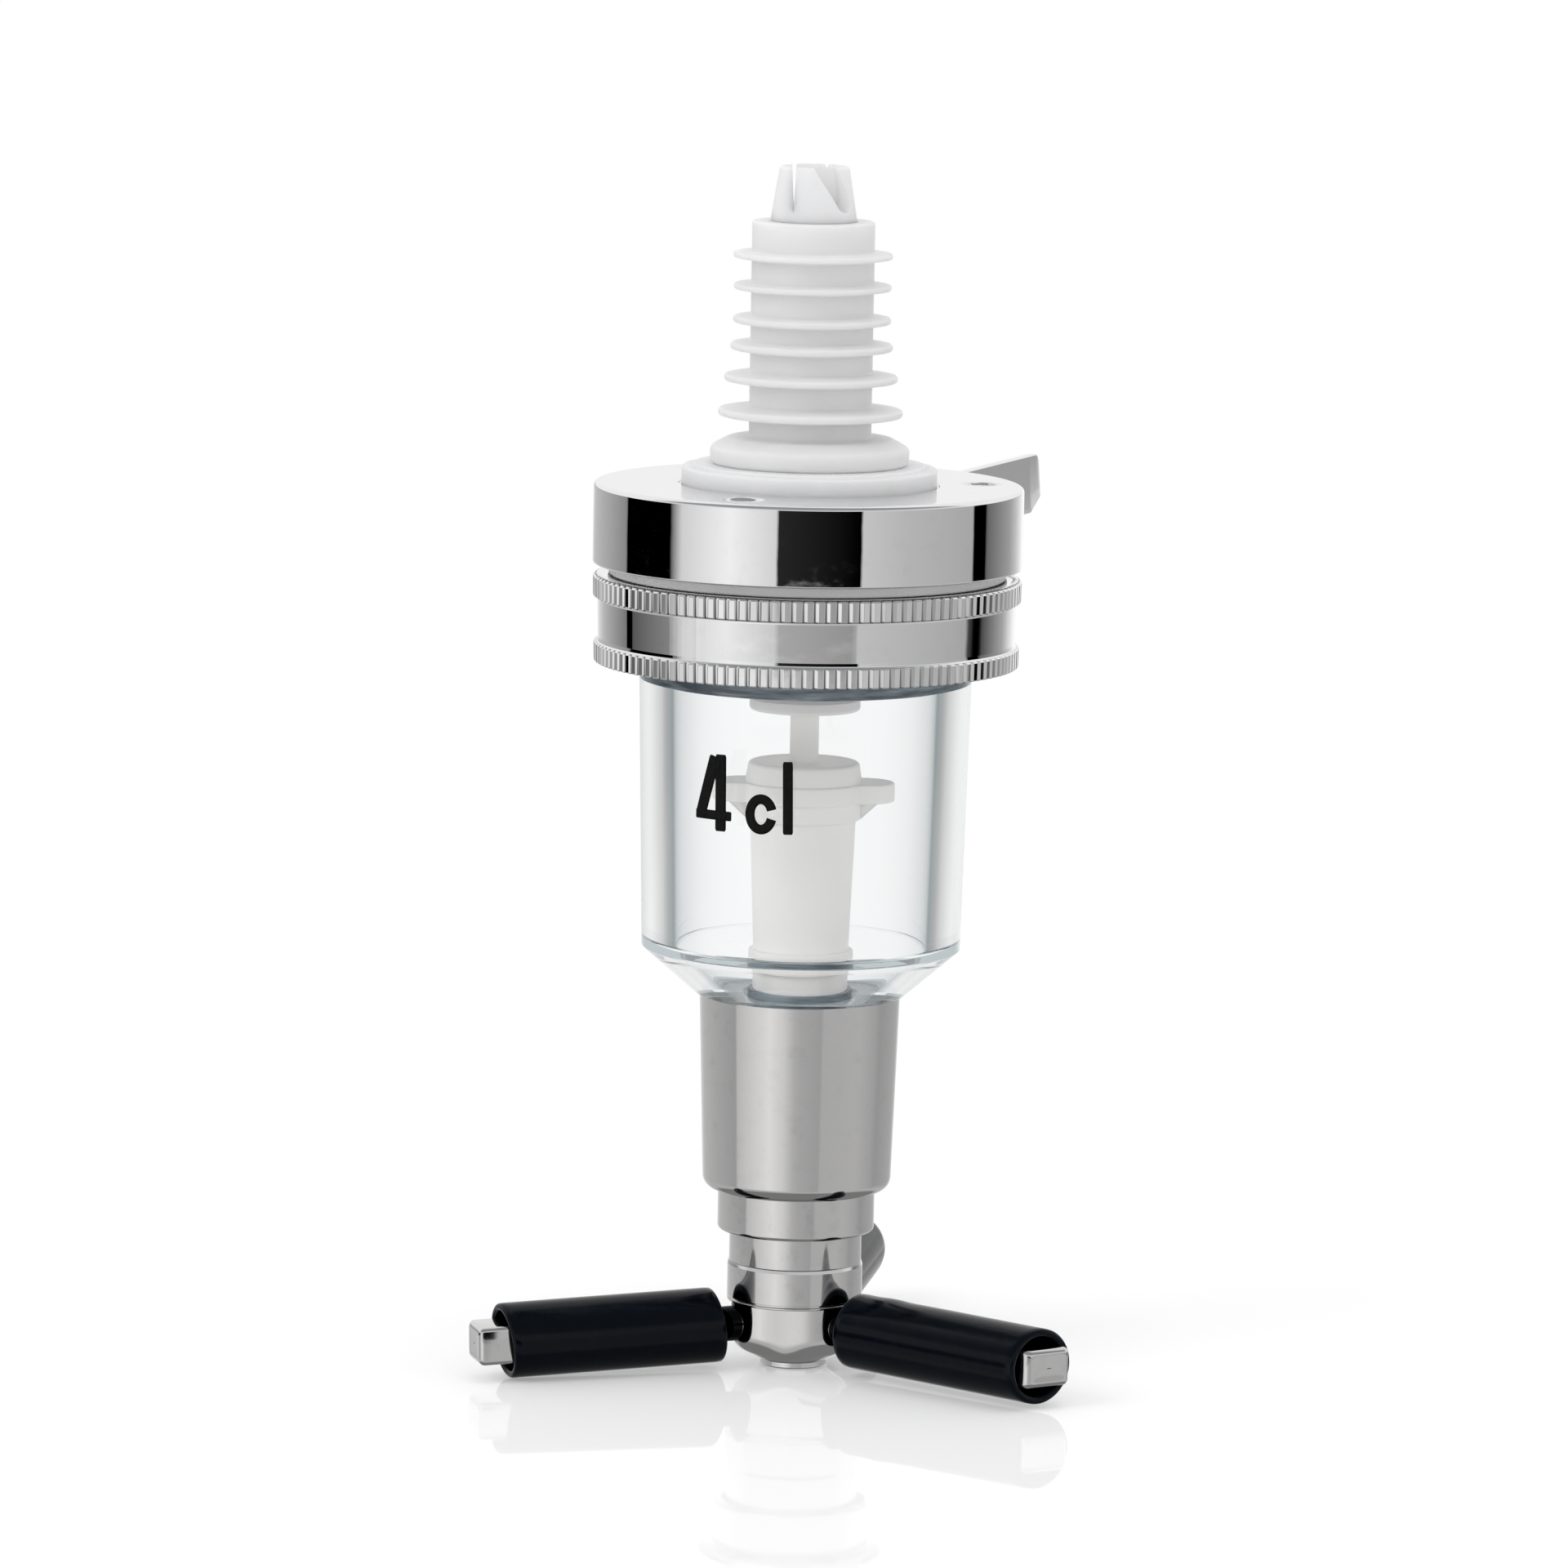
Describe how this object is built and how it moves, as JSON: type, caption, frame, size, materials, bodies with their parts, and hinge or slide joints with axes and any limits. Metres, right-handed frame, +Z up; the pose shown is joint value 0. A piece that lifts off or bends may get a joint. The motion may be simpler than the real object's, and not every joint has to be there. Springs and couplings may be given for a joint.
{
  "type": "spirit measure dispenser",
  "caption": "Spring-loaded bottle measure: finned cork, chrome cap with bracket fork, clear metering chamber and a lever with black grips that slides up to pour.",
  "frame": {"origin": "centre of the spout tip's bottom face, on the measure's axis", "axes": "+Z up the axis towards the cork, -Y between the two front lever arms"},
  "size_m": [0.0824, 0.086, 0.1634],
  "materials": {
    "cork_plastic": "satin, slightly translucent soft plastic",
    "white_plastic": "smooth moulded plastic",
    "valve_plastic": "warm white moulded plastic",
    "chrome": "bright mirror plating",
    "satin_chrome": "turned and plated, slightly soft mirror",
    "screw_steel": "plated screw",
    "spring_steel": "stainless wire and rod",
    "gasket_rubber": "pale soft gasket",
    "seal_rubber": "dark soft seal",
    "clear_plastic": "clear polished, thick-walled",
    "grip_pvc": "glossy black soft tube"
  },
  "bodies": {
    "measure": {"bottle_cork": "cork_plastic", "inlet_nozzle": "white_plastic", "seat_flange": "white_plastic", "top_cap": "chrome", "cap_screws": "screw_steel", "cap_gasket": "gasket_rubber", "collar": "chrome", "inlet_head": "white_plastic", "chamber_seal": "seal_rubber", "chamber": "clear_plastic", "sleeve_seal": "seal_rubber", "lower_sleeve": "satin_chrome", "outlet_seat": "white_plastic", "guide_nut": "satin_chrome", "guide_bush": "valve_plastic", "return_spring": "spring_steel"},
    "lever": {"spout_tip": "satin_chrome", "lever_spider": "satin_chrome", "hub_nut": "satin_chrome", "spout_neck": "satin_chrome", "plunger_stem": "spring_steel", "outlet_seal": "seal_rubber", "plunger_tube": "valve_plastic", "vent_cap": "valve_plastic", "valve_rod": "valve_plastic", "inlet_valve": "valve_plastic", "inlet_valve_seal": "gasket_rubber", "grip_left": "grip_pvc", "grip_right": "grip_pvc", "grip_rear": "grip_pvc"}
  },
  "joints": [
    {"name": "lever_slide", "type": "slide", "parent": "measure", "child": "lever", "axis": [0, 0, 1], "range_m": [0, 0.0042], "stiffness_N_per_m": 900, "springref_m": -0.006, "deforming": ["return_spring"]}
  ]
}
